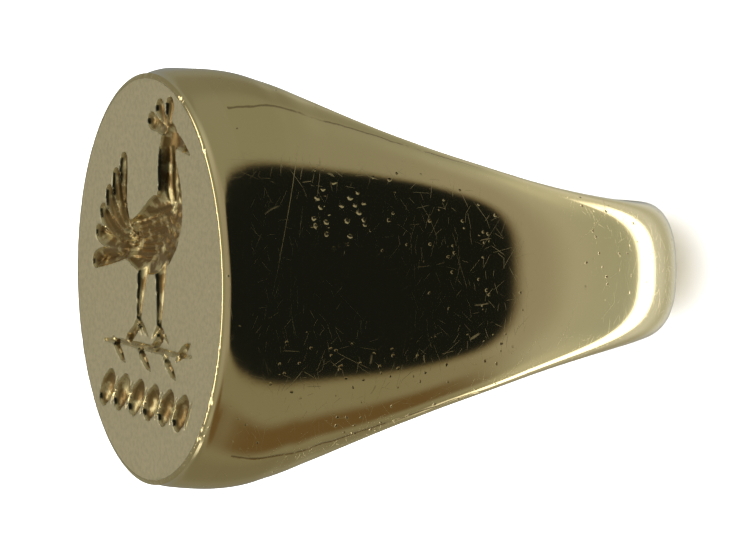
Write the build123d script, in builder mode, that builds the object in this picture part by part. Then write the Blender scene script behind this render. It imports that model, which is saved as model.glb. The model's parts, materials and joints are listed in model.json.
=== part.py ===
# Oxford signet ring in mm. The finger bore runs along Y and the seal face looks up +Z.
import os
from math import cos, pi, radians, sin

from build123d import *

os.makedirs("parts", exist_ok=True)

bore_r = 8.7            # inside radius, a little-finger size
shank_t = 1.55          # thickness of the shank on its crown
head_t = 2.9            # gold between the finger and the seal face
face_x = 6.5            # half the face across the finger
face_y = 8.0            # half the face along the finger
shoulder_y = 3.9        # half the ring's width where the head meets the shank
back_y = 2.6            # half the shank's width at the back of the ring
plate_t = 1.1           # thickness of the seal plate
solder_t = 0.1          # thickness of every solder seam
round_p = 2.45          # roundness of the D section, 2 is a half ellipse
shank_taper = 3.2       # how fast the shank narrows behind the shoulders, 1 is evenly
oval_depth = 3.0        # depth below the face over which the plan turns oval
upright = 3.6           # how far the shoulder keeps to the shank's circle
lean_z = 5.0            # the straight lean below the rim, down
lean_x = 1.85           # and outward
bird_cut = 0.32         # depth of the engraved bird
bar_cut = 0.24          # depth of the sprig and of the twisted bar

shank_r = bore_r + shank_t
face_z = bore_r + head_t
plate_z = face_z - plate_t
seam_z = plate_z - solder_t
big = 4 * shank_r

# Height as a share of the face's height, and width as a share of the way from shoulder to face.
head_swell = [
    (0.00, 0.00),
    (0.13, 0.115),
    (0.26, 0.256),
    (0.39, 0.430),
    (0.52, 0.622),
    (0.645, 0.810),
    (0.75, 0.965),
    (0.845, 1.035),
    (0.92, 1.028),
    (1.00, 1.00),
]


def shoulder_x(z):
    """Half length across the finger at height z, from the shank's circle to the face's rim."""
    low, high = 0.0, 1.0
    for _ in range(40):
        t = (low + high) / 2
        near = 3 * t * (1 - t) ** 2
        far = 3 * t * t * (1 - t)
        if near * upright + far * (face_z - lean_z) + t**3 * face_z < z:
            low = t
        else:
            high = t
    return ((1 - t) ** 3 + near) * shank_r + far * (face_x + lean_x) + t**3 * face_x


def plan(z, half_y):
    """The body's outline at height z: straight sides with rounded ends."""
    straight = max(bore_r * max(1 - (z / face_z) ** 2, 0.0) ** 1.5, 0.15)
    power = 2.0 + (round_p - 2.0) * min((face_z - z) / oval_depth, 1.0)
    reach = shoulder_x(z) - straight
    quarter = []
    for i in range(11):
        s = sin(i * pi / 20)
        quarter.append((straight + reach * (1 - s**power) ** (1 / power), half_y * s))
    upper = quarter + [(0.0, half_y)] + [(-x, y) for x, y in reversed(quarter)]
    return upper + [(x, -y) for x, y in reversed(upper[1:-1])]


# The body is shaped whole and then cut into its pieces, so that they meet face to face.
with BuildPart() as upper_body:
    for height, swell in head_swell:
        half_y = shoulder_y + (face_y - shoulder_y) * swell
        with BuildSketch(Plane.XY.offset(height * face_z)):
            with BuildLine():
                Spline(plan(height * face_z, half_y), periodic=True)
            make_face()
    loft()
    Cylinder(bore_r, big, rotation=(90, 0, 0), mode=Mode.SUBTRACT)

sections = 13
with BuildPart() as shank:
    for i in range(sections):
        a = radians(90 + 180 * i / (sections - 1))
        swell = abs(1 - 2 * i / (sections - 1)) ** shank_taper
        half_y = back_y + (shoulder_y - back_y) * swell
        crown = []
        for j in range(17):
            s = sin(-pi / 2 + j * pi / 16)
            rise = (1 - abs(s) ** round_p) ** (1 / round_p)
            crown.append((half_y * s, bore_r + shank_t * rise))
        foot = bore_r - shank_t / 2
        with BuildSketch(Plane((0, 0, 0), x_dir=(0, 1, 0), z_dir=(cos(a), 0, -sin(a)))):
            with BuildLine():
                Spline(crown)
                Line((half_y, bore_r), (half_y, foot))
                Line((half_y, foot), (-half_y, foot))
                Line((-half_y, foot), (-half_y, bore_r))
            make_face()
    loft()
    Cylinder(bore_r, big, rotation=(90, 0, 0), mode=Mode.SUBTRACT)


def layer(low, high, side=0):
    """The part of the upper body between two heights, on one side of the ring or on both."""
    with BuildPart() as piece:
        add(upper_body.part)
        with Locations((side * big / 2, 0, (low + high) / 2)):
            Box(big, big, high - low, mode=Mode.INTERSECT)
    return piece.part


with BuildPart() as head:
    add(layer(solder_t, seam_z))

with BuildPart() as plate_solder:
    add(layer(seam_z, plate_z))

with BuildPart() as solder_right:
    add(layer(0, solder_t, side=1))

with BuildPart() as solder_left:
    add(layer(0, solder_t, side=-1))

# The device is a plain crested bird on a leafy sprig, above a twisted bar.
# It is drawn for a face of 13 by 16 mm and follows the face when that changes.
across = face_x / 6.5
along = face_y / 8.0
device_turn = -7        # the device stands slightly askew on the face, in degrees
line_w = 0.26
bird = [
    (0.10, -0.05), (-0.95, 0.25), (-2.10, 0.20), (-3.40, 0.05), (-4.45, 0.35), (-4.95, 1.30),
    (-4.85, 2.35), (-4.20, 2.95), (-3.30, 2.90), (-2.35, 2.55), (-1.35, 2.75), (-0.55, 3.50),
    (-0.15, 4.55), (0.05, 5.45), (0.30, 6.10), (0.85, 6.50), (1.50, 6.45), (2.00, 6.10),
    (2.10, 5.60), (1.95, 4.95), (2.15, 4.10), (2.70, 3.20), (2.85, 2.20), (2.50, 1.15),
    (1.65, 0.40), (0.90, 0.05),
]
beak = [(1.90, 6.15), (3.05, 5.75), (2.05, 5.60)]
crest = [(0.15, 6.75, 50), (0.70, 7.00, 70), (1.25, 6.95, 95)]
leg_x = [-0.45, 0.95]
leg_top = 0.2
ground_y = -2.10
sprig_y = -2.75
sprig_l = 7.2
leaf_step = 1.1
bar_y = -4.65
lobe_step = 1.32
lobes = 6

device_plane = Plane.XY.offset(face_z).rotated((0, 0, device_turn))
with BuildPart() as seal_plate:
    add(layer(plate_z, face_z))
    with BuildSketch(device_plane):
        with BuildLine():
            Spline([(x * across, y * along) for x, y in bird], periodic=True)
        make_face()
        with BuildLine():
            Polyline([(x * across, y * along) for x, y in beak], close=True)
        make_face()
        for x, y, turn in crest:
            with Locations((x * across, y * along)):
                Ellipse(0.42 * along, 0.17 * across, rotation=turn)
        for x in leg_x:
            with Locations((x * across, (leg_top + ground_y) / 2 * along)):
                Rectangle(line_w, (leg_top - ground_y) * along)
            with Locations(((x + 0.18) * across, ground_y * along)):
                SlotOverall(1.10 * across, line_w)
    extrude(amount=-bird_cut, mode=Mode.SUBTRACT)
    with BuildSketch(device_plane):
        with Locations((0.15 * across, sprig_y * along)):
            SlotOverall(sprig_l * across, line_w)
        for i in range(6):
            side = 1 if i % 2 else -1
            x = 0.15 + (i - 2.5) * leaf_step
            with Locations((x * across, (sprig_y + 0.32 * side) * along)):
                Ellipse(0.52 * across, 0.20 * along, rotation=side * 28)
        for i in range(lobes):
            with Locations(((i - (lobes - 1) / 2) * lobe_step * across, bar_y * along)):
                Ellipse(0.72 * across, 0.50 * along, rotation=38)
    extrude(amount=-bar_cut, mode=Mode.SUBTRACT)

seal_plate.part.label = "seal_plate"
export_step(seal_plate.part, "parts/seal_plate.step")
plate_solder.part.label = "plate_solder"
export_step(plate_solder.part, "parts/plate_solder.step")
head.part.label = "head"
export_step(head.part, "parts/head.step")
solder_right.part.label = "shoulder_solder_right"
export_step(solder_right.part, "parts/shoulder_solder_right.step")
solder_left.part.label = "shoulder_solder_left"
export_step(solder_left.part, "parts/shoulder_solder_left.step")
shank.part.label = "shank"
export_step(shank.part, "parts/shank.step")
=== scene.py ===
import json
import math

import bmesh
import bpy
from mathutils import Matrix, Vector


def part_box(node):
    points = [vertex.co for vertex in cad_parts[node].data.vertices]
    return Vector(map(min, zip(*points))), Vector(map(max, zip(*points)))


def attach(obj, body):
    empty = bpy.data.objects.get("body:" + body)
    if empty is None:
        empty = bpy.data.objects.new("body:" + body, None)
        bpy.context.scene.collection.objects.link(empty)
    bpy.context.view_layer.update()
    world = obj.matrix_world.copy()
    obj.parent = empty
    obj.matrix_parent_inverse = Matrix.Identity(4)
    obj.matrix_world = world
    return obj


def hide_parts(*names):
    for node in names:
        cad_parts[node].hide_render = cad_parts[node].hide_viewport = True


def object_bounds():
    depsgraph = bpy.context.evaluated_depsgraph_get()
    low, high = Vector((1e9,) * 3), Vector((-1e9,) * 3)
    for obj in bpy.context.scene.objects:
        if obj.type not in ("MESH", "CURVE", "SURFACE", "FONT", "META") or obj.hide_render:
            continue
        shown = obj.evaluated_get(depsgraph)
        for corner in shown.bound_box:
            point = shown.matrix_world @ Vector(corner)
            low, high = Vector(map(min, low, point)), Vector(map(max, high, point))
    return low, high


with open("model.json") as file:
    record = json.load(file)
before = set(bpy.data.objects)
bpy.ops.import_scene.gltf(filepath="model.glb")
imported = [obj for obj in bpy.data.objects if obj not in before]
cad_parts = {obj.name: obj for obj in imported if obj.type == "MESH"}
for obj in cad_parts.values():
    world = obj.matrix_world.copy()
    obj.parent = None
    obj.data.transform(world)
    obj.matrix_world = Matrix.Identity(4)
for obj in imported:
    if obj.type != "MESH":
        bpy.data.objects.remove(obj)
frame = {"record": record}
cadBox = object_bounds()
mm = 0.001


def boxMm(node):
    low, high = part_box(node)
    return [c / mm for c in low], [c / mm for c in high]


plateLow, plateHigh = boxMm("seal_plate")
seamLow, seamHigh = boxMm("plate_solder")
jointLow, jointHigh = boxMm("shoulder_solder_right")
shankLow = boxMm("shank")[0]
boreMount = next(m for m in frame["record"]["mounts"] if m["name"] == "finger_bore")

# The ring's body, in mm
ring = {
    "boreRadius": boreMount["dims"]["r_mm"],
    "crownRadius": -shankLow[2],      # outside of the shank
    "faceHeight": plateHigh[2],
    "faceAcross": 6.5,                # half axes of the seal face
    "faceAlong": 8.0,
    "shoulderWidth": 3.9,             # half widths of the band
    "backWidth": 2.6,
    "roundness": 2.45,                # 2 is a half ellipse
    "shankTaper": 3.2,
    "ovalDepth": 2.0,                 # how soon the oval turns into a band
    "rimWall": 0.35,                  # upright edge of the seal face
    "rimSoft": 0.18,                  # how far its worn edge reaches in
    "rimDrop": 0.075,                 # and down
    "boreRound": 0.14,                # comfort edge of the bore
    "columns": 150,                   # faces across the band
    "boreRows": 86,
    "shankRows": 170,
    "upperRows": 26,
    # height share squared, how far the crown has come in towards the rim
    "lean": [(0, 0), (0.08, 0.125), (0.25, 0.352), (0.45, 0.565), (0.65, 0.738),
             (0.80, 0.862), (0.90, 0.942), (0.96, 0.984), (1, 1)],
    # height share, how far the band has spread towards the face's width
    "swell": [(0, 0), (0.13, 0.115), (0.26, 0.250), (0.39, 0.417), (0.52, 0.600), (0.645, 0.782),
              (0.75, 0.935), (0.85, 1.030), (0.93, 1.034), (1, 1)],
}


class Term:
    # a socket that can be written in formulas
    def __init__(self, tree, socket):
        self.tree = tree
        self.socket = socket

    def math(self, operation, *others):
        node = self.tree.nodes.new("ShaderNodeMath")
        node.operation = operation
        for slot, value in enumerate((self,) + others):
            if isinstance(value, Term):
                self.tree.links.new(value.socket, node.inputs[slot])
            else:
                node.inputs[slot].default_value = value
        return Term(self.tree, node.outputs[0])

    def constant(self, value):
        node = self.tree.nodes.new("ShaderNodeValue")
        node.outputs[0].default_value = value
        return Term(self.tree, node.outputs[0])

    def __add__(self, other):
        return self.math("ADD", other)

    def __sub__(self, other):
        return self.math("SUBTRACT", other)

    def __mul__(self, other):
        return self.math("MULTIPLY", other)

    def __truediv__(self, other):
        return self.math("DIVIDE", other)

    def __rsub__(self, other):
        return self.constant(other).math("SUBTRACT", self)

    def __rtruediv__(self, other):
        return self.constant(other).math("DIVIDE", self)

    def __pow__(self, other):
        return self.math("POWER", other)

    __radd__ = __add__
    __rmul__ = __mul__

    def sin(self):
        return self.math("SINE")

    def cos(self):
        return self.math("COSINE")

    def root(self):
        return self.math("MAXIMUM", 0.0).math("SQRT")

    def least(self, other):
        return self.math("MINIMUM", other)

    def most(self, other):
        return self.math("MAXIMUM", other)


def addNode(tree, kind, **settings):
    node = tree.nodes.new(kind)
    for name, value in settings.items():
        setattr(node, name, value)
    return node


def newTree(name, sizes):
    # a Geometry Nodes tree whose inputs are named sizes
    tree = bpy.data.node_groups.new(name, "GeometryNodeTree")
    tree.interface.new_socket("Geometry", in_out="INPUT", socket_type="NodeSocketGeometry")
    tree.interface.new_socket("Geometry", in_out="OUTPUT", socket_type="NodeSocketGeometry")
    for key, value in sizes.items():
        kind = "NodeSocketInt" if isinstance(value, int) else "NodeSocketFloat"
        item = tree.interface.new_socket(key, in_out="INPUT", socket_type=kind)
        item.default_value = value
    tree.interface.new_socket("Material", in_out="INPUT", socket_type="NodeSocketMaterial")
    entry = tree.nodes.new("NodeGroupInput")
    ending = tree.nodes.new("NodeGroupOutput")
    terms = {key: Term(tree, entry.outputs[key]) for key in sizes}
    return tree, entry, ending, terms


def splitVector(tree, socket):
    node = addNode(tree, "ShaderNodeSeparateXYZ")
    tree.links.new(socket, node.inputs[0])
    return [Term(tree, out) for out in node.outputs]


def placeAt(tree, geometry, x, y, z, share=None):
    # moves points to a formula's place, written in mm, and may keep how far across the band they lie
    if share is not None:
        keep = addNode(tree, "GeometryNodeStoreNamedAttribute", data_type="FLOAT", domain="POINT")
        keep.inputs["Name"].default_value = "bandShare"
        tree.links.new(geometry, keep.inputs["Geometry"])
        tree.links.new(share.socket, keep.inputs["Value"])
        geometry = keep.outputs[0]
    combine = addNode(tree, "ShaderNodeCombineXYZ")
    for slot, value in enumerate((x, y, z)):
        tree.links.new((value * mm).socket, combine.inputs[slot])
    node = addNode(tree, "GeometryNodeSetPosition")
    tree.links.new(geometry, node.inputs["Geometry"])
    tree.links.new(combine.outputs[0], node.inputs["Position"])
    return node.outputs[0]


def unitGrid(tree, rows, columns):
    # a sheet of points with shares 0 to 1 along its rows and columns
    grid = addNode(tree, "GeometryNodeMeshGrid")
    grid.inputs["Size X"].default_value = 1
    grid.inputs["Size Y"].default_value = 1
    for name, count in (("Vertices X", rows), ("Vertices Y", columns)):
        if isinstance(count, Term):
            tree.links.new((count + 1).socket, grid.inputs[name])
        else:
            grid.inputs[name].default_value = count + 1
    at = splitVector(tree, addNode(tree, "GeometryNodeInputPosition").outputs[0])
    return grid.outputs["Mesh"], at[0] + 0.5, at[1] + 0.5


def profile(tree, term, points):
    # a drawn curve from 0 to 1
    node = addNode(tree, "ShaderNodeFloatCurve")
    curve = node.mapping.curves[0]
    node.mapping.use_clip = False
    while len(curve.points) < len(points):
        curve.points.new(0.5, 0.5)
    for point, place in zip(curve.points, points):
        point.location = place
    node.mapping.update()
    tree.links.new(term.socket, node.inputs["Value"])
    return Term(tree, node.outputs[0])


def bodyAt(tree, size, height):
    # crown, half width, straight stretch and roundness of the body at a height
    share = (height / (size["faceHeight"] - size["rimWall"])).least(1.0)
    square = share * share
    lean = profile(tree, square, ring["lean"])
    crown = size["crownRadius"] - (size["crownRadius"] - size["faceAcross"]) * lean
    swell = profile(tree, share, ring["swell"])
    width = size["shoulderWidth"] + (size["faceAlong"] - size["shoulderWidth"]) * swell
    straight = size["boreRadius"] * (1.0 - square).most(0.0) ** 1.5
    below = ((size["faceHeight"] - size["rimWall"] - height) / size["ovalDepth"]).most(0.0).least(1.0)
    power = 2.0 + (size["roundness"] - 2.0) * below * (2.0 - below)
    return crown, width, straight, power


def halfWidth(reach, crown, width, straight, power):
    # half the band's width at a distance from the bore's axis
    share = ((reach - straight).most(0.0) / (crown - straight)).least(1.0)
    return width * (1.0 - share ** power).most(0.0) ** (1.0 / power)


def bandPoint(turn, start, crown, width, straight, power):
    # a point of the band's outline, turn runs from one side over the crown to the other
    reach = start + (crown - start) * turn.cos().most(0.0) ** (2.0 / power)
    return reach, halfWidth(reach, crown, width, straight, power) * turn.sin().math("SIGN")


def besideBore(tree, size, low, high):
    # the shoulder's outer skin and its share of the bore, between two heights
    outer = size["boreRadius"] + size["boreRound"]
    parts = []
    for inside in (False, True):
        columns = 40 if inside else size["columns"]
        mesh, row, column = unitGrid(tree, size["boreRows"], columns)
        first = (low / outer).math("ARCCOSINE")
        last = (high / outer).least(1.0).math("ARCCOSINE")
        lift = first + (last - first) * row
        height = outer * lift.cos()
        start = outer * lift.sin()
        crown, width, straight, power = bodyAt(tree, size, height)
        if inside:
            x, y, z = boreSkin(size, column, halfWidth(start, crown, width, straight, power), lift)
        else:
            turn = (0.5 - column) * math.pi
            x, y = bandPoint(turn, start, crown, width, straight, power)
            z = height
        parts.append(placeAt(tree, mesh, x, y, z, y / width))
    return parts


def boreSkin(size, column, width, lift):
    # across the bore from one edge to the other, with both edges rounded
    ends = 0.1
    near = (column / ends).least(1.0)
    far = ((1.0 - column) / ends).least(1.0)
    bend = near.least(far) * (math.pi / 2)
    radius = size["boreRadius"] + size["boreRound"] * (1.0 - bend.sin())
    flat = (column.most(ends).least(1.0 - ends) - 0.5) * (1.0 / (0.5 - ends))
    side = flat * (width - size["boreRound"]) * -1.0
    edge = size["boreRound"] * bend.cos() * (flat * -1.0)
    return radius * lift.sin(), side + edge, radius * lift.cos()


def aboveBore(tree, size, low, high, rows):
    # the outer skin over the finger, as one half
    mesh, row, column = unitGrid(tree, rows, size["columns"])
    height = low + (high - low) * row
    crown, width, straight, power = bodyAt(tree, size, height)
    turn = (0.5 - column) * math.pi
    x, y = bandPoint(turn, height * 0.0, crown, width, straight, power)
    return placeAt(tree, mesh, x, y, height, y / width)


def bothHalves(tree, parts):
    join = addNode(tree, "GeometryNodeJoinGeometry")
    mirror = addNode(tree, "GeometryNodeTransform")
    mirror.inputs["Scale"].default_value = (-1, 1, 1)
    flip = addNode(tree, "GeometryNodeFlipFaces")
    both = addNode(tree, "GeometryNodeJoinGeometry")
    for part in parts:
        tree.links.new(part, join.inputs[0])
    tree.links.new(join.outputs[0], mirror.inputs[0])
    tree.links.new(mirror.outputs[0], flip.inputs[0])
    tree.links.new(join.outputs[0], both.inputs[0])
    tree.links.new(flip.outputs[0], both.inputs[0])
    return both.outputs[0]


def finishTree(tree, entry, ending, geometry):
    merge = addNode(tree, "GeometryNodeMergeByDistance")
    merge.inputs["Distance"].default_value = 0.001 * mm
    realize = addNode(tree, "GeometryNodeRealizeInstances")
    paint = addNode(tree, "GeometryNodeSetMaterial")
    tree.links.new(geometry, merge.inputs[0])
    tree.links.new(merge.outputs[0], realize.inputs[0])
    tree.links.new(realize.outputs[0], paint.inputs[0])
    tree.links.new(entry.outputs["Material"], paint.inputs["Material"])
    tree.links.new(paint.outputs[0], ending.inputs[0])


sizeKeys = ["boreRadius", "crownRadius", "faceHeight", "faceAcross", "faceAlong", "shoulderWidth",
            "backWidth", "roundness", "shankTaper", "ovalDepth", "rimWall", "rimSoft", "rimDrop",
            "boreRound", "columns", "boreRows"]
sizes = {key: ring[key] for key in sizeKeys}


def headTree(low, high):
    tree, entry, ending, size = newTree("ringHead", {**sizes, "lowest": low, "highest": high})
    outer = size["boreRadius"] + size["boreRound"]
    parts = besideBore(tree, size, size["lowest"], outer)
    parts.append(aboveBore(tree, size, outer, size["highest"], ring["upperRows"]))
    finishTree(tree, entry, ending, bothHalves(tree, parts))
    return tree


def shoulderSeamTree(low, high):
    rows = {**sizes, "boreRows": 2, "lowest": low, "highest": high}
    tree, entry, ending, size = newTree("shoulderSeam", rows)
    join = addNode(tree, "GeometryNodeJoinGeometry")
    for part in besideBore(tree, size, size["lowest"], size["highest"]):
        tree.links.new(part, join.inputs[0])
    finishTree(tree, entry, ending, join.outputs[0])
    return tree


def plateSeamTree(low, high):
    tree, entry, ending, size = newTree("plateSeam", {**sizes, "lowest": low, "highest": high})
    part = aboveBore(tree, size, size["lowest"], size["highest"], 2)
    finishTree(tree, entry, ending, bothHalves(tree, [part]))
    return tree


def shankTree():
    tree, entry, ending, size = newTree("ringShank", {**sizes, "shankRows": ring["shankRows"]})
    join = addNode(tree, "GeometryNodeJoinGeometry")
    for inside in (False, True):
        mesh, row, column = unitGrid(tree, size["shankRows"], 40 if inside else size["columns"])
        lift = (row + 0.5) * math.pi
        swell = (1.0 - 2.0 * row).math("ABSOLUTE") ** size["shankTaper"]
        width = size["backWidth"] + (size["shoulderWidth"] - size["backWidth"]) * swell
        section = (size["crownRadius"], width, size["boreRadius"], size["roundness"])
        start = size["boreRadius"] + size["boreRound"]
        if inside:
            x, y, z = boreSkin(size, column, halfWidth(start, *section), lift)
        else:
            turn = (0.5 - column) * math.pi
            reach, y = bandPoint(turn, start, *section)
            x, z = reach * lift.sin(), reach * lift.cos()
        tree.links.new(placeAt(tree, mesh, x, y, z, y / width), join.inputs[0])
    finishTree(tree, entry, ending, join.outputs[0])
    return tree


# The seal plate and its engraving, in mm
seal = {
    "gridFaces": 280,                 # faces across the seal face, each way
    "rimNicks": 0.03,                 # depth of the nicks along the rim
    "deepest": 0.46,                  # depth of the widest cuts
    "cutSlope": 0.62,                 # depth against half width of a narrow cut
    "wobble": 0.03,                   # unsteadiness of the graver
    "toolChatter": 0.05,
    "rib": 1.3,                       # how much a fine line adds inside a wide cut
    "turn": -7.0,                     # the device stands slightly askew, degrees
    # half widths of the body's, the plumes' and the fine strokes, from and to, and how blunt their cuts are
    "ranges": ((0.5, 9.0, 0.6), (0.2, 0.5, 0.7), (0.0, 0.2, 1.0)),
}


def strokeDepth(tree, size, points, place, narrow, wide, bluntness, grain):
    # how deep the strokes of one range of widths cut below a place on the table
    radius = Term(tree, addNode(tree, "GeometryNodeInputRadius").outputs[0]) * (1 / mm)
    apart = addNode(tree, "GeometryNodeSeparateGeometry", domain="POINT")
    tree.links.new(points, apart.inputs["Geometry"])
    chosen = radius.math("GREATER_THAN", narrow) * radius.math("LESS_THAN", wide)
    tree.links.new(chosen.socket, apart.inputs["Selection"])
    nearest = addNode(tree, "GeometryNodeSampleNearest", domain="POINT")
    tree.links.new(apart.outputs["Selection"], nearest.inputs["Geometry"])
    position = addNode(tree, "GeometryNodeInputPosition").outputs[0]
    found = []
    for kind, source in (("FLOAT_VECTOR", position), ("FLOAT", radius.socket)):
        sample = addNode(tree, "GeometryNodeSampleIndex", data_type=kind, domain="POINT")
        tree.links.new(apart.outputs["Selection"], sample.inputs["Geometry"])
        tree.links.new(source, sample.inputs["Value"])
        tree.links.new(nearest.outputs[0], sample.inputs["Index"])
        found.append(sample.outputs[0])
    there = splitVector(tree, found[0])
    dx, dy = place[0] - there[0] * (1 / mm), place[1] - there[1] * (1 / mm)
    away = (dx * dx + dy * dy).root() + grain * size["wobble"]
    cutWidth = Term(tree, found[1])
    share = (1.0 - (away / cutWidth) ** 2.0).most(0.0)
    return (cutWidth * size["cutSlope"]).least(size["deepest"]) * share ** bluntness


def plateTree():
    # the seal plate: the drawing that comes in is cut into an oval table
    names = ("rimNicks", "deepest", "cutSlope", "wobble", "toolChatter", "rib", "gridFaces")
    more = {key: seal[key] for key in names}
    tree, entry, ending, size = newTree("sealPlate", {**sizes, **more, "lowest": plateLow[2]})
    link = tree.links.new
    noise = addNode(tree, "ShaderNodeTexNoise", noise_dimensions="3D")
    noise.inputs["Scale"].default_value = 2600
    noise.inputs["Detail"].default_value = 2
    grain = Term(tree, noise.outputs[0]) - 0.5

    # the flat table, a square sheet rounded into an oval
    mesh, row, column = unitGrid(tree, size["gridFaces"], size["gridFaces"])
    u = row * 2.0 - 1.0
    v = column * 2.0 - 1.0
    topX = u * (1.0 - v * v * 0.5).root() * (size["faceAcross"] - size["rimSoft"])
    topY = v * (1.0 - u * u * 0.5).root() * (size["faceAlong"] - size["rimSoft"])
    table = placeAt(tree, mesh, topX, topY, size["faceHeight"] + topX * 0.0)

    # the drawing's strokes become points that carry their width: bodies, plumes and fine lines
    points = addNode(tree, "GeometryNodeCurveToPoints", mode="LENGTH")
    points.inputs["Length"].default_value = 0.03 * mm
    link(entry.outputs["Geometry"], points.inputs["Curve"])
    position = addNode(tree, "GeometryNodeInputPosition").outputs[0]
    here = [part * (1 / mm) for part in splitVector(tree, position)]
    body, plume, fine = (strokeDepth(tree, size, points.outputs["Points"], here, *limits, grain)
                         for limits in seal["ranges"])
    depth = body.most(plume) + fine * size["rib"]
    chatter = grain * size["toolChatter"] * (depth * 12.0).least(1.0)
    engraved = placeAt(tree, table, here[0], here[1], size["faceHeight"] - (depth + chatter).most(0.0))

    # the worn rim with its nicks, and the upright wall under it
    sides = []
    half = size["gridFaces"] * 2
    for rim in (True, False):
        mesh, row, column = unitGrid(tree, 6 if rim else 9, half)
        walk = column * 4.0
        u = walk.least(1.0).least(4.0 - walk)
        v = (2.0 - walk).most(-1.0).least(1.0)
        x = u * (1.0 - v * v * 0.5).root()
        y = v * (1.0 - u * u * 0.5).root()
        if rim:
            place = addNode(tree, "ShaderNodeCombineXYZ")
            link(x.socket, place.inputs[0])
            link(y.socket, place.inputs[1])
            blows = addNode(tree, "ShaderNodeTexNoise", noise_dimensions="3D")
            blows.inputs["Scale"].default_value = 14
            blows.inputs["Detail"].default_value = 3
            link(place.outputs[0], blows.inputs["Vector"])
            nick = (Term(tree, blows.outputs[0]) - 0.52).most(0.0) * 4.0 * size["rimNicks"]
            nick = nick * (row * math.pi).sin()
            inset = size["rimSoft"] * (1.0 - row) + nick
            drop = size["rimDrop"] * row * row + nick
            x = x * (size["faceAcross"] - inset)
            y = y * (size["faceAlong"] - inset)
            sides.append(placeAt(tree, mesh, x, y, size["faceHeight"] - drop))
        else:
            top = size["faceHeight"] - size["rimDrop"]
            height = top + (size["lowest"] - top) * row
            outline = bandPoint(y.math("ARCTAN2", x), height * 0.0, *bodyAt(tree, size, height))
            sides.append(placeAt(tree, mesh, *outline, height))
    join = addNode(tree, "GeometryNodeJoinGeometry")
    link(engraved, join.inputs[0])
    link(bothHalves(tree, sides), join.inputs[0])
    finishTree(tree, entry, ending, join.outputs[0])
    return tree


def closeMesh(mesh, sharpAngle=32):
    # closes the flat ends and turns every face outwards
    work = bmesh.new()
    work.from_mesh(mesh)
    bmesh.ops.remove_doubles(work, verts=work.verts, dist=0.002 * mm)
    bmesh.ops.dissolve_degenerate(work, edges=work.edges, dist=0.0005 * mm)
    rims = [e for e in work.edges if e.is_boundary]
    bmesh.ops.holes_fill(work, edges=rims, sides=0)
    bmesh.ops.recalc_face_normals(work, faces=work.faces)
    loose = sum(not e.is_manifold for e in work.edges)
    for face in work.faces:
        face.smooth = True
    work.to_mesh(mesh)
    work.free()
    mesh.set_sharp_from_angle(angle=math.radians(sharpAngle))
    return loose


def makePiece(name, source, tree, material):
    # runs a tree on a piece and keeps its result as a plain mesh
    raw = bpy.data.objects.new(name + "Raw", source)
    bpy.context.scene.collection.objects.link(raw)
    modifier = raw.modifiers.new("shape", "NODES")
    modifier.node_group = tree
    for item in tree.interface.items_tree:
        if item.name == "Material" and item.in_out == "INPUT":
            modifier[item.identifier] = material
    bpy.context.view_layer.update()
    graph = bpy.context.evaluated_depsgraph_get()
    mesh = bpy.data.meshes.new_from_object(raw.evaluated_get(graph))
    raw.modifiers.clear()
    bpy.data.objects.remove(raw)
    mesh.name = name
    loose = closeMesh(mesh)
    if not mesh.materials:
        mesh.materials.append(material)
    piece = bpy.data.objects.new(name, mesh)
    bpy.context.scene.collection.objects.link(piece)
    print(name, "faces", len(mesh.polygons), "open edges", loose)
    return piece


# The device is a plain crested bird on a leafy sprig above a twisted bar.
# Strokes are x, y and half width in mm.
def birdStrokes():
    # body and head, beak, three crest plumes, legs with their toes
    strokes = [
        ((-2.3, 1.25, 0.6), (-1.3, 1.15, 1.05), (-0.1, 1.45, 1.45), (1.1, 2.2, 1.5), (1.6, 3.2, 1.15),
         (1.25, 4.3, 0.86), (1.0, 5.05, 0.72), (1.3, 5.7, 0.66)),
        ((1.6, 5.75, 0.34), (2.3, 5.62, 0.26), (3.0, 5.3, 0.06)),
    ]
    for tipX, tipY in ((-0.35, 6.15), (0.3, 6.75), (1.15, 6.95)):
        middle = (0.5 + tipX * 0.5, 2.95 + tipY * 0.5, 0.22)
        strokes.append(((1.05, 5.85, 0.24), middle, (tipX, tipY, 0.36)))
    for hip, foot in ((-0.55, -0.75), (0.95, 1.05)):
        knee = (hip * 0.7 + foot * 0.3, 0.0, 0.45)
        strokes.append(((hip, 0.8, 0.49), knee, (foot, -0.8, 0.2), (foot, -2.0, 0.19)))
        for toe in (-0.55, 0.35, 0.85):
            middle = (foot + toe * 0.6, -1.95, 0.15)
            strokes.append(((foot, -1.75, 0.15), middle, (foot + toe, -2.25, 0.05)))
    return strokes


def tailStrokes():
    # sickle plumes in a raised fan, each with its quill
    strokes = []
    for i in range(6):
        lift = i / 5
        tipX = -4.75 + 2.1 * lift ** 1.6
        tipY = 0.0 + 4.3 * lift ** 0.8
        path = ((-1.7, 0.9 + 0.5 * lift), (-2.9, 0.5 + 2.0 * lift),
                (tipX * 0.99, tipY * 0.72 + 0.2), (tipX, tipY))
        widths = (0.22, 0.34, 0.44, 0.3)
        strokes.append([(x, y, width) for (x, y), width in zip(path, widths)])
        strokes.append([(x, y, 0.13) for x, y in path])
        strokes.append([(x + 0.2, y + 0.12, 0.07) for x, y in path[1:]])
    return strokes


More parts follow.
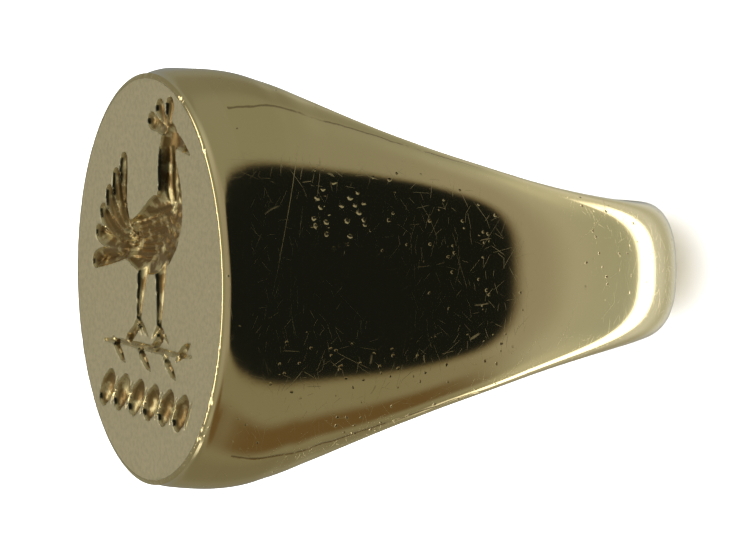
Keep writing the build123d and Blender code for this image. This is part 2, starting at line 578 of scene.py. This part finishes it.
def featherStrokes():
    # fine lines inside the body: the wing's long feathers, neck hackles and breast scales
    strokes = []
    for i in range(8):
        strokes.append(((1.0 - 0.16 * i, 3.0 - 0.32 * i, 0.08), (-0.4 - 0.1 * i, 2.45 - 0.27 * i, 0.15),
                        (-2.1 - 0.04 * i, 1.9 - 0.2 * i, 0.08)))
    for i in range(5):
        strokes.append(((0.62 + 0.22 * i, 5.3, 0.05), (0.55 + 0.33 * i, 4.3, 0.13),
                        (0.75 + 0.42 * i, 3.2, 0.06)))
    for row in range(5):
        for i in range(3):
            x, y = 1.2 + 0.48 * i - 0.16 * row, 2.85 - 0.42 * row - 0.12 * i
            strokes.append(((x - 0.24, y + 0.14, 0.07), (x, y - 0.2, 0.13), (x + 0.24, y + 0.14, 0.07)))
    return strokes


def sprigStrokes():
    # a stem with six leaves, turned up and down by turns
    strokes = [((-3.7, -2.95, 0.08), (-1.2, -2.62, 0.17), (1.4, -2.72, 0.17), (3.9, -2.45, 0.08))]
    for i in range(6):
        side = 1 if i % 2 else -1
        x = -2.95 + 1.12 * i
        strokes.append(((x, -2.75, 0.1), (x + 0.4, -2.75 + 0.3 * side, 0.3),
                        (x + 0.85, -2.75 + 0.62 * side, 0.24), (x + 1.15, -2.75 + 0.8 * side, 0.05)))
    return strokes


def barStrokes():
    # six slanting lobes with a thin cord between them
    strokes = []
    for i in range(6):
        x = (i - 2.5) * 1.3
        strokes.append(((x - 0.3, -5.15, 0.38), (x, -4.75, 0.6), (x + 0.3, -4.35, 0.38)))
        strokes.append(((x + 0.4, -5.3, 0.05), (x + 0.65, -4.75, 0.13), (x + 0.9, -4.2, 0.05)))
    return strokes


def drawingCurve():
    curve = bpy.data.curves.new("device", "CURVE")
    curve.dimensions = "3D"
    curve.resolution_u = 16
    askew = Matrix.Rotation(math.radians(seal["turn"]), 3, "Z")
    for points in birdStrokes() + tailStrokes() + featherStrokes() + sprigStrokes() + barStrokes():
        spline = curve.splines.new("NURBS")
        spline.points.add(len(points) - 1)
        for point, (x, y, width) in zip(spline.points, points):
            place = askew @ Vector((x * mm, y * mm, plateHigh[2] * mm))
            point.co = (*place, 1)
            point.radius = width * mm
        spline.use_endpoint_u = True
        spline.order_u = min(4, len(points)) if len(points) > 3 else 3
    return curve


# The metal and its wear, in mm unless a line says otherwise
gold = {
    "colour": (0.86, 0.72, 0.38, 1),
    "worn": (0.80, 0.66, 0.32, 1),
    # dark colour of the pits, and of the painted dark reflection along the crease
    "darkPitsAndCreaseReflection": (0.24, 0.15, 0.06, 1),
    "recess": (0.30, 0.18, 0.06, 1),
    "table": (0.83, 0.735, 0.49, 1),
    "tableDark": (0.73, 0.64, 0.415, 1),
    # scratches on the seal face: real wear, painted paler as a painted sheen
    "tableScratchSheen": (0.95, 0.88, 0.66, 1),
    "polish": 0.075,                  # roughness of the worn polish
    "matt": 0.40,                     # roughness of the seal face
    "scratchRough": 0.85,             # roughness that a scratch adds
    "scratchWidth": 0.011,            # half the width of a scratch
    # cells per metre, share of them that is scratched, strength and thinness
    "scratchSets": ((130, 0.5, 0.8, 0.7), (320, 0.5, 0.55, 0.6), (650, 0.7, 0.42, 0.5),
                    (1000, 0.9, 0.42, 0.5), (1500, 1.0, 0.42, 0.5), (2200, 1.0, 0.4, 0.5)),
    # cells per metre, inner and outer edge of a hole, share of the cells that has one
    "smallPits": (3400, 0.10, 0.24, 0.36),
    "largePits": (1500, 0.04, 0.12, 0.12),
    "bruisePits": (3000, 0.08, 0.42, 0.85),
    "bruises": (8.0, 2.5, 7.5),       # the middle of the knocked spot on each shoulder
    "bruiseReach": 1.6,
    # how deep each kind of wear goes, against bumpDistance
    "dentDepth": 0.45,
    "grainDepth": 0.03,
    "scratchDepth": 0.12,
    "pitDepth": 0.9,
    "bruiseDepth": 1.6,
    "creaseDepth": 0.7,
    "bumpStrength": 0.6,
    "bumpDistance": 0.03,
    # the crease, painted as a dark reflection with a slight dip: share of the half width at the shoulders,
    # how much nearer the middle each mm up, how far it wanders, and the heights between which it fades in
    "creaseShare": 0.985,
    "creaseRise": 0.0155,
    "creaseWander": 0.05,
    "creaseFade": (1.0, 3.5),
}


def shaderGroup(name, inputs, outputs):
    # a group of shader nodes that takes and gives plain values
    tree = bpy.data.node_groups.new(name, "ShaderNodeTree")
    for key in inputs:
        item = tree.interface.new_socket(key, in_out="INPUT", socket_type="NodeSocketFloat")
        item.default_value = 1.0
    for key in outputs:
        tree.interface.new_socket(key, in_out="OUTPUT", socket_type="NodeSocketFloat")
    entry = tree.nodes.new("NodeGroupInput")
    ending = tree.nodes.new("NodeGroupOutput")
    return tree, entry, ending


def softStep(tree, term, low, high):
    node = addNode(tree, "ShaderNodeMapRange", interpolation_type="SMOOTHSTEP")
    node.inputs["From Min"].default_value = low
    node.inputs["From Max"].default_value = high
    tree.links.new(term.socket, node.inputs["Value"])
    return Term(tree, node.outputs[0])


def noiseTerm(tree, spot, scale, detail):
    node = addNode(tree, "ShaderNodeTexNoise")
    node.inputs["Scale"].default_value = scale
    node.inputs["Detail"].default_value = detail
    tree.links.new(spot, node.inputs["Vector"])
    return Term(tree, node.outputs[0])


def straightScratches(tree, spot, perMetre, share, thin):
    # one straight line across some of the cells of a random pattern, each in its own direction
    cells = addNode(tree, "ShaderNodeTexVoronoi")
    cells.inputs["Scale"].default_value = perMetre
    tree.links.new(spot, cells.inputs["Vector"])
    offset = addNode(tree, "ShaderNodeVectorMath", operation="SUBTRACT")
    tree.links.new(spot, offset.inputs[0])
    tree.links.new(cells.outputs["Position"], offset.inputs[1])
    # flattened along the finger, so that more of the lines run that way
    lean = addNode(tree, "ShaderNodeVectorMath", operation="MULTIPLY_ADD")
    lean.inputs[1].default_value = (1.0, 0.5, 1.0)
    lean.inputs[2].default_value = (-0.5, -0.25, -0.5)
    tree.links.new(cells.outputs["Color"], lean.inputs[0])
    unit = addNode(tree, "ShaderNodeVectorMath", operation="NORMALIZE")
    tree.links.new(lean.outputs[0], unit.inputs[0])
    gap = addNode(tree, "ShaderNodeVectorMath", operation="DOT_PRODUCT")
    tree.links.new(offset.outputs[0], gap.inputs[0])
    tree.links.new(unit.outputs[0], gap.inputs[1])
    dice = addNode(tree, "ShaderNodeSeparateColor")
    tree.links.new(cells.outputs["Color"], dice.inputs[0])
    chosen = Term(tree, dice.outputs[1]).math("LESS_THAN", share)
    width = gold["scratchWidth"] * thin * mm
    line = 1.0 - softStep(tree, Term(tree, gap.outputs["Value"]).math("ABSOLUTE"), width * 0.3, width)
    ends = 1.0 - softStep(tree, Term(tree, cells.outputs["Distance"]), 0.35, 0.62)
    return line * chosen * ends


def pitMarks(tree, spot, perMetre, low, high, share):
    # small round holes in some cells of a random pattern
    cells = addNode(tree, "ShaderNodeTexVoronoi")
    cells.inputs["Scale"].default_value = perMetre
    tree.links.new(spot, cells.inputs["Vector"])
    dice = addNode(tree, "ShaderNodeSeparateColor")
    tree.links.new(cells.outputs["Color"], dice.inputs[0])
    hole = 1.0 - softStep(tree, Term(tree, cells.outputs["Distance"]), low, high)
    return hole * Term(tree, dice.outputs[0]).math("LESS_THAN", share)


def wearGroup():
    # hairline scratches, pits and shallow dents of long wear
    kinds = ("Scratches", "Pits", "Dents")
    masks = ("Height", "Scratch Mask", "Pit Mask", "Patches")
    tree, entry, ending = shaderGroup("goldWear", kinds, masks)
    spot = addNode(tree, "ShaderNodeTexCoord").outputs["Object"]
    amount = {key: Term(tree, entry.outputs[key]) for key in kinds}
    scratches = None
    for perMetre, share, strength, thin in gold["scratchSets"]:
        lines = straightScratches(tree, spot, perMetre, share, thin) * strength
        scratches = lines if scratches is None else scratches.most(lines)
    busy = softStep(tree, noiseTerm(tree, spot, 240, 2), 0.36, 0.62)
    scratches = scratches * (busy * 0.7 + 0.3) * amount["Scratches"]
    wander = addNode(tree, "ShaderNodeTexNoise")
    wander.inputs["Scale"].default_value = 5200
    tree.links.new(spot, wander.inputs["Vector"])
    ragged = addNode(tree, "ShaderNodeVectorMath", operation="MULTIPLY_ADD")
    ragged.inputs[1].default_value = (0.12 * mm, 0.12 * mm, 0.12 * mm)
    tree.links.new(wander.outputs["Color"], ragged.inputs[0])
    tree.links.new(spot, ragged.inputs[2])
    near = softStep(tree, noiseTerm(tree, spot, 210, 2), 0.46, 0.58)
    pits = pitMarks(tree, ragged.outputs[0], *gold["smallPits"]) * near
    pits = pits.most(pitMarks(tree, ragged.outputs[0], *gold["largePits"])) * amount["Pits"]
    x, y, z = (part * (1 / mm) for part in splitVector(tree, spot))
    middle = gold["bruises"]
    away = (x.math("ABSOLUTE") - middle[0]) ** 2.0 + (y - middle[1]) ** 2.0 + (z - middle[2]) ** 2.0
    knocked = 1.0 - softStep(tree, away, gold["bruiseReach"] * 0.5, gold["bruiseReach"] ** 2)
    bruises = pitMarks(tree, ragged.outputs[0], *gold["bruisePits"]) * knocked * amount["Pits"]
    dents = noiseTerm(tree, spot, 330, 2) - 0.5
    fine = noiseTerm(tree, spot, 6000, 3) - 0.5
    height = dents * amount["Dents"] * gold["dentDepth"] + fine * gold["grainDepth"]
    height = height - scratches * gold["scratchDepth"] - pits * gold["pitDepth"]
    height = height - bruises * gold["bruiseDepth"]
    tree.links.new(height.socket, ending.inputs["Height"])
    tree.links.new(scratches.most(bruises * 0.22).socket, ending.inputs["Scratch Mask"])
    tree.links.new(pits.least(1.0).socket, ending.inputs["Pit Mask"])
    tree.links.new(noiseTerm(tree, spot, 180, 3).socket, ending.inputs["Patches"])
    return tree


wear = wearGroup()


def mixColour(tree, share, first, second):
    node = addNode(tree, "ShaderNodeMix", data_type="RGBA")
    tree.links.new(share.socket, node.inputs[0])
    for slot, value in ((6, first), (7, second)):
        if isinstance(value, tuple):
            node.inputs[slot].default_value = value
        else:
            tree.links.new(value, node.inputs[slot])
    return node.outputs[2]


def newMaterial(name, colour):
    material = bpy.data.materials.new(name)
    material.use_nodes = True
    material.diffuse_color = colour
    shader = material.node_tree.nodes["Principled BSDF"]
    return material, material.node_tree, shader


def wornNodes(tree, shader, scratches, pits, dents, extraHeight=None):
    # places the shared wear in a material and returns its masks
    worn = addNode(tree, "ShaderNodeGroup")
    worn.node_tree = wear
    worn.inputs["Scratches"].default_value = scratches
    worn.inputs["Pits"].default_value = pits
    worn.inputs["Dents"].default_value = dents
    height = Term(tree, worn.outputs["Height"])
    if extraHeight is not None:
        height = height + extraHeight
    bump = addNode(tree, "ShaderNodeBump")
    bump.inputs["Strength"].default_value = gold["bumpStrength"]
    bump.inputs["Distance"].default_value = gold["bumpDistance"] * mm
    tree.links.new(height.socket, bump.inputs["Height"])
    tree.links.new(bump.outputs[0], shader.inputs["Normal"])
    shader.inputs["Metallic"].default_value = 1.0
    return [Term(tree, worn.outputs[key]) for key in ("Patches", "Scratch Mask", "Pit Mask")]


def creaseMask(tree):
    # the soft, broken line where the shoulders turn into the ring's sides, where a dark reflection is
    # painted and the bump dips a little
    spot = addNode(tree, "ShaderNodeTexCoord").outputs["Object"]
    height = splitVector(tree, spot)[2] * (1 / mm)
    share = Term(tree, addNode(tree, "ShaderNodeAttribute", attribute_name="bandShare").outputs["Fac"])
    wander = (noiseTerm(tree, spot, 700, 4) - 0.5) * gold["creaseWander"]
    middle = share.math("ABSOLUTE") - gold["creaseShare"] + height * gold["creaseRise"]
    line = (middle + wander).math("ABSOLUTE")
    broken = softStep(tree, noiseTerm(tree, spot, 900, 3), 0.32, 0.44)
    above = softStep(tree, height, *gold["creaseFade"])
    return (1.0 - softStep(tree, line, 0.001, 0.007)) * broken * above


def polishedGold(name, scratches=1.0, pits=1.0, dents=1.0, crease=True):
    material, tree, shader = newMaterial(name, gold["colour"])
    line = creaseMask(tree) if crease else None
    dip = line * -gold["creaseDepth"] if crease else None
    patches, scratchMask, pitMask = wornNodes(tree, shader, scratches, pits, dents, dip)
    # darker in the pits, and a painted dark reflection along the crease line
    dark = pitMask.most(line * 0.75) if crease else pitMask
    warm = mixColour(tree, ((patches - 0.4) * 2.0).most(0.0).least(1.0), gold["colour"], gold["worn"])
    tree.links.new(mixColour(tree, dark * 0.9, warm, gold["darkPitsAndCreaseReflection"]), shader.inputs["Base Color"])
    rough = patches * 0.04 + scratchMask * gold["scratchRough"] + dark * 0.2 + gold["polish"]
    tree.links.new(rough.socket, shader.inputs["Roughness"])
    return material


def sealGold():
    # matt table, polished rim and wall, dark cuts
    material, tree, shader = newMaterial("sealFaceGold", gold["table"])
    spot = addNode(tree, "ShaderNodeTexCoord").outputs["Object"]
    x, y, z = (part * (1 / mm) for part in splitVector(tree, spot))
    oval = (x / ring["faceAcross"]) ** 2.0 + (y / ring["faceAlong"]) ** 2.0
    inside = 1.0 - softStep(tree, oval, 0.935, 0.965)
    below = plateHigh[2] - z
    sunk = softStep(tree, below, 0.03, 0.16) * inside
    table = inside * (1.0 - softStep(tree, below, 0.0, 0.05))
    patches, scratchMask, pitMask = wornNodes(tree, shader, 0.8, 0.5, 0.5)
    glints = softStep(tree, noiseTerm(tree, spot, 1900, 3), 0.48, 0.66)
    grain = softStep(tree, noiseTerm(tree, spot, 5500, 3), 0.3, 0.7)
    tone = mixColour(tree, grain, gold["tableDark"], gold["table"])
    # painted sheen: the scratches on the matt table are painted paler so that they look brighter
    tone = mixColour(tree, scratchMask.least(1.0) * 0.55, tone, gold["tableScratchSheen"])
    face = mixColour(tree, table, gold["colour"], tone)
    cut = mixColour(tree, glints, gold["recess"], gold["colour"])
    tree.links.new(mixColour(tree, sunk * 0.92, face, cut), shader.inputs["Base Color"])
    matt = table * (gold["matt"] - gold["polish"]) + patches * 0.06 - scratchMask * table * 0.2
    tree.links.new((matt + sunk * 0.26 + pitMask * 0.2 + gold["polish"]).socket, shader.inputs["Roughness"])
    return material


bodyGold = polishedGold("bodyGold")
solderGold = polishedGold("solderGold", 0.8, 0.3, 1.0, crease=False)
sealMaterial = sealGold()
blank = bpy.data.meshes.new("blank")

head = makePiece("ringHead", blank.copy(), headTree(jointHigh[2], seamLow[2]), bodyGold)
shank = makePiece("ringShank", blank.copy(), shankTree(), bodyGold)
seam = makePiece("plateSeam", blank.copy(), plateSeamTree(seamLow[2], seamHigh[2]), solderGold)
plate = makePiece("sealPlate", drawingCurve(), plateTree(), sealMaterial)
seamTree = shoulderSeamTree(jointLow[2], jointHigh[2])
right = makePiece("shoulderSeamRight", blank.copy(), seamTree, solderGold)
left = right.copy()
left.name = "shoulderSeamLeft"
left.data = right.data.copy()
left.data.transform(Matrix.Scale(-1, 4, (1, 0, 0)))
left.data.flip_normals()
bpy.context.scene.collection.objects.link(left)
pieces = [
    ("head", head, "ring_gold"),
    ("shank", shank, "ring_gold"),
    ("plate_solder", seam, "solder"),
    ("seal_plate", plate, "seal_gold"),
    ("shoulder_solder_right", right, "solder"),
    ("shoulder_solder_left", left, "solder"),
]
for node, piece, slotName in pieces:
    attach(piece, "root")
    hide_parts(node)
print("ring pieces made")

# The camera and the light
studio = {
    "turn": 62.9,                     # camera's angle from the seal face's normal, degrees
    "rise": 2.3,
    "roll": -0.6,
    "distance": 500.0,                # mm
    "viewWidth": 29.39,               # width of the view at the ring, mm
    "aimAcross": -1.56,               # where it aims, mm from the origin in the view
    "aimUp": -0.353,
    "openingAcross": 45.0,            # half angles of the tent's dark opening, degrees
    "openingUp": 32.8,
    "tent": 2.6,                      # brightness for everything but what the gold reflects
    # tent colours by the angle from the opening's middle, away from the shank and behind it
    "plainTent": [(0, 0.26, 0.26, 0.22), (60, 0.27, 0.275, 0.24), (105, 0.27, 0.275, 0.25),
                  (180, 0.25, 0.26, 0.25)],
    "shankTent": [(0, 0.26, 0.26, 0.22), (56, 0.33, 0.32, 0.30), (78, 0.42, 0.43, 0.42),
                  (105, 0.40, 0.43, 0.42), (137, 0.66, 0.68, 0.70), (150, 0.50, 0.50, 0.42),
                  (163, 0.64, 0.65, 0.60), (180, 0.30, 0.31, 0.31)],
    "below": (0.21, 0.195, 0.14, 1),
    "edge": (0.12, 0.10, 0.06, 1),
    "glow": (0.70, 0.71, 0.68, 1),
    "card": (0.135, 0.087, 0.04, 1),
    "strip": (2.8, 2.8, 2.9, 1),
    "lamp": (2.6, 2.5, 2.3, 1),
    "fringe": (0.12, 0.09, 0.05, 1),
    "hole": (0.0085, 0.0105, 0.0115, 1),
}


def cameraAxes():
    turn, rise, roll = (math.radians(studio[k]) for k in ("turn", "rise", "roll"))
    out = Vector((math.sin(turn) * math.cos(rise), math.sin(rise), math.cos(turn) * math.cos(rise)))
    up = (Vector((0, 1, 0)) - out.y * out).normalized()
    side = up.cross(out)
    return out, math.cos(roll) * side + math.sin(roll) * up, math.cos(roll) * up - math.sin(roll) * side


def addCamera():
    out, side, up = cameraAxes()
    camera = bpy.data.objects.new("camera", bpy.data.cameras.new("camera"))
    bpy.context.scene.collection.objects.link(camera)
    target = (side * studio["aimAcross"] + up * studio["aimUp"]) * mm
    axes = Matrix((side, up, out)).transposed().to_4x4()
    camera.matrix_world = Matrix.Translation(target + out * studio["distance"] * mm) @ axes
    camera.data.sensor_width = 36
    camera.data.lens = 36 * studio["distance"] / studio["viewWidth"]
    camera.data.clip_start = 0.01
    camera.data.clip_end = 10
    bpy.context.scene.camera = camera


def addWorld():
    # a pale tent with a dark opening, a bright strip behind the shank and a small lamp over the seal face
    world = bpy.data.worlds.new("studio")
    bpy.context.scene.world = world
    world.use_nodes = True
    world.cycles.sampling_method = "NONE"
    tree = world.node_tree
    tree.nodes.clear()
    link = tree.links.new
    spot = addNode(tree, "ShaderNodeTexCoord").outputs["Generated"]
    parts = []
    for axis in cameraAxes():
        dot = addNode(tree, "ShaderNodeVectorMath", operation="DOT_PRODUCT")
        dot.inputs[1].default_value = axis
        link(spot, dot.inputs[0])
        parts.append(Term(tree, dot.outputs["Value"]))
    forward, across, upward = parts
    angle = forward.math("ARCCOSINE") * (180 / math.pi)
    spread = (across * across + upward * upward).root().most(0.001)
    sideways = across / spread

    def between(term, low, high, soft):
        rise = softStep(tree, term, low - soft, low + soft)
        return rise * (1.0 - softStep(tree, term, high - soft, high + soft))

    def tentTone(stops):
        # colour of the tent by the angle from the opening's middle
        ramp = addNode(tree, "ShaderNodeValToRGB")
        ramp.color_ramp.interpolation = "EASE"
        elements = ramp.color_ramp.elements
        while len(elements) < len(stops):
            elements.new(0.5)
        for element, (place, *colour) in zip(elements, stops):
            element.position = place / 180
            element.color = (*colour, 1)
        link((angle / 180.0).socket, ramp.inputs[0])
        return ramp.outputs[0]

    aside = softStep(tree, sideways, 0.1, 0.6)
    colour = mixColour(tree, aside, tentTone(studio["plainTent"]), tentTone(studio["shankTent"]))
    steep = upward / spread
    downward = 1.0 - softStep(tree, steep, -0.85, -0.5)
    edgeward = between(angle, 94, 130, 10) * (1.0 - aside)
    glow = softStep(tree, steep.math("ABSOLUTE"), 0.35, 0.75) * between(angle, 85, 135, 10)
    glow = glow * softStep(tree, sideways, 0.35, 0.7)
    card = between(angle, 58, 84, 6) * (1.0 - softStep(tree, steep, -0.95, -0.75))
    # the strip bends towards the opening at both ends and is cut off on a slant
    bent = angle + steep ** 2.0 * 13.0
    strip = between(bent, 117, 132, 1.5) * softStep(tree, sideways * 0.978 - steep * 0.208, 0.48, 0.68)
    lamp = between(angle, 88, 101, 2) * (1.0 - softStep(tree, sideways, -0.96, -0.9))
    wide = math.sin(math.radians(studio["openingAcross"]))
    tall = math.sin(math.radians(studio["openingUp"]))
    square = 2.6 + across.math("LESS_THAN", 0.0) * 1.4
    opening = (across / wide).math("ABSOLUTE") ** square + (upward / tall).math("ABSOLUTE") ** square
    opening = opening ** (1.0 / square) + forward.math("LESS_THAN", 0.0) * 9.0
    fringe = 1.0 - softStep(tree, opening, 0.99, 1.1)
    hole = 1.0 - softStep(tree, opening, 0.955, 1.03)
    for share, name in ((downward * 0.6, "below"), (edgeward * 0.3, "edge"), (glow * 0.55, "glow"),
                        (card * 0.95, "card"), (strip, "strip"), (lamp, "lamp"),
                        (fringe * 0.8, "fringe"), (hole, "hole")):
        colour = mixColour(tree, share, colour, studio[name])
    around = addNode(tree, "ShaderNodeBackground")
    link(colour, around.inputs["Color"])
    plain = addNode(tree, "ShaderNodeBackground")
    plain.inputs["Color"].default_value = (1, 1, 1, 1)
    plain.inputs["Strength"].default_value = studio["tent"]
    path = addNode(tree, "ShaderNodeLightPath")
    mix = addNode(tree, "ShaderNodeMixShader")
    link(path.outputs["Is Glossy Ray"], mix.inputs[0])
    link(plain.outputs[0], mix.inputs[1])
    link(around.outputs[0], mix.inputs[2])
    ending = addNode(tree, "ShaderNodeOutputWorld")
    link(mix.outputs[0], ending.inputs[0])


def addFloor():
    # a plain pale floor that the gold doesn't reflect
    half = 0.6
    mesh = bpy.data.meshes.new("floor")
    z = cadBox[0][2]
    corners = [(-half, -half, z), (half, -half, z), (half, half, z), (-half, half, z)]
    mesh.from_pydata(corners, [], [(0, 1, 2, 3)])
    floor = bpy.data.objects.new("floor", mesh)
    bpy.context.scene.collection.objects.link(floor)
    material, _, shader = newMaterial("paleFloor", (0.95, 0.95, 0.95, 1))
    shader.inputs["Base Color"].default_value = (0.95, 0.95, 0.95, 1)
    shader.inputs["Roughness"].default_value = 0.9
    mesh.materials.append(material)
    floor.visible_glossy = False


bpy.context.scene.view_settings.view_transform = "Standard"
addCamera()
addWorld()
addFloor()
print("studio made")
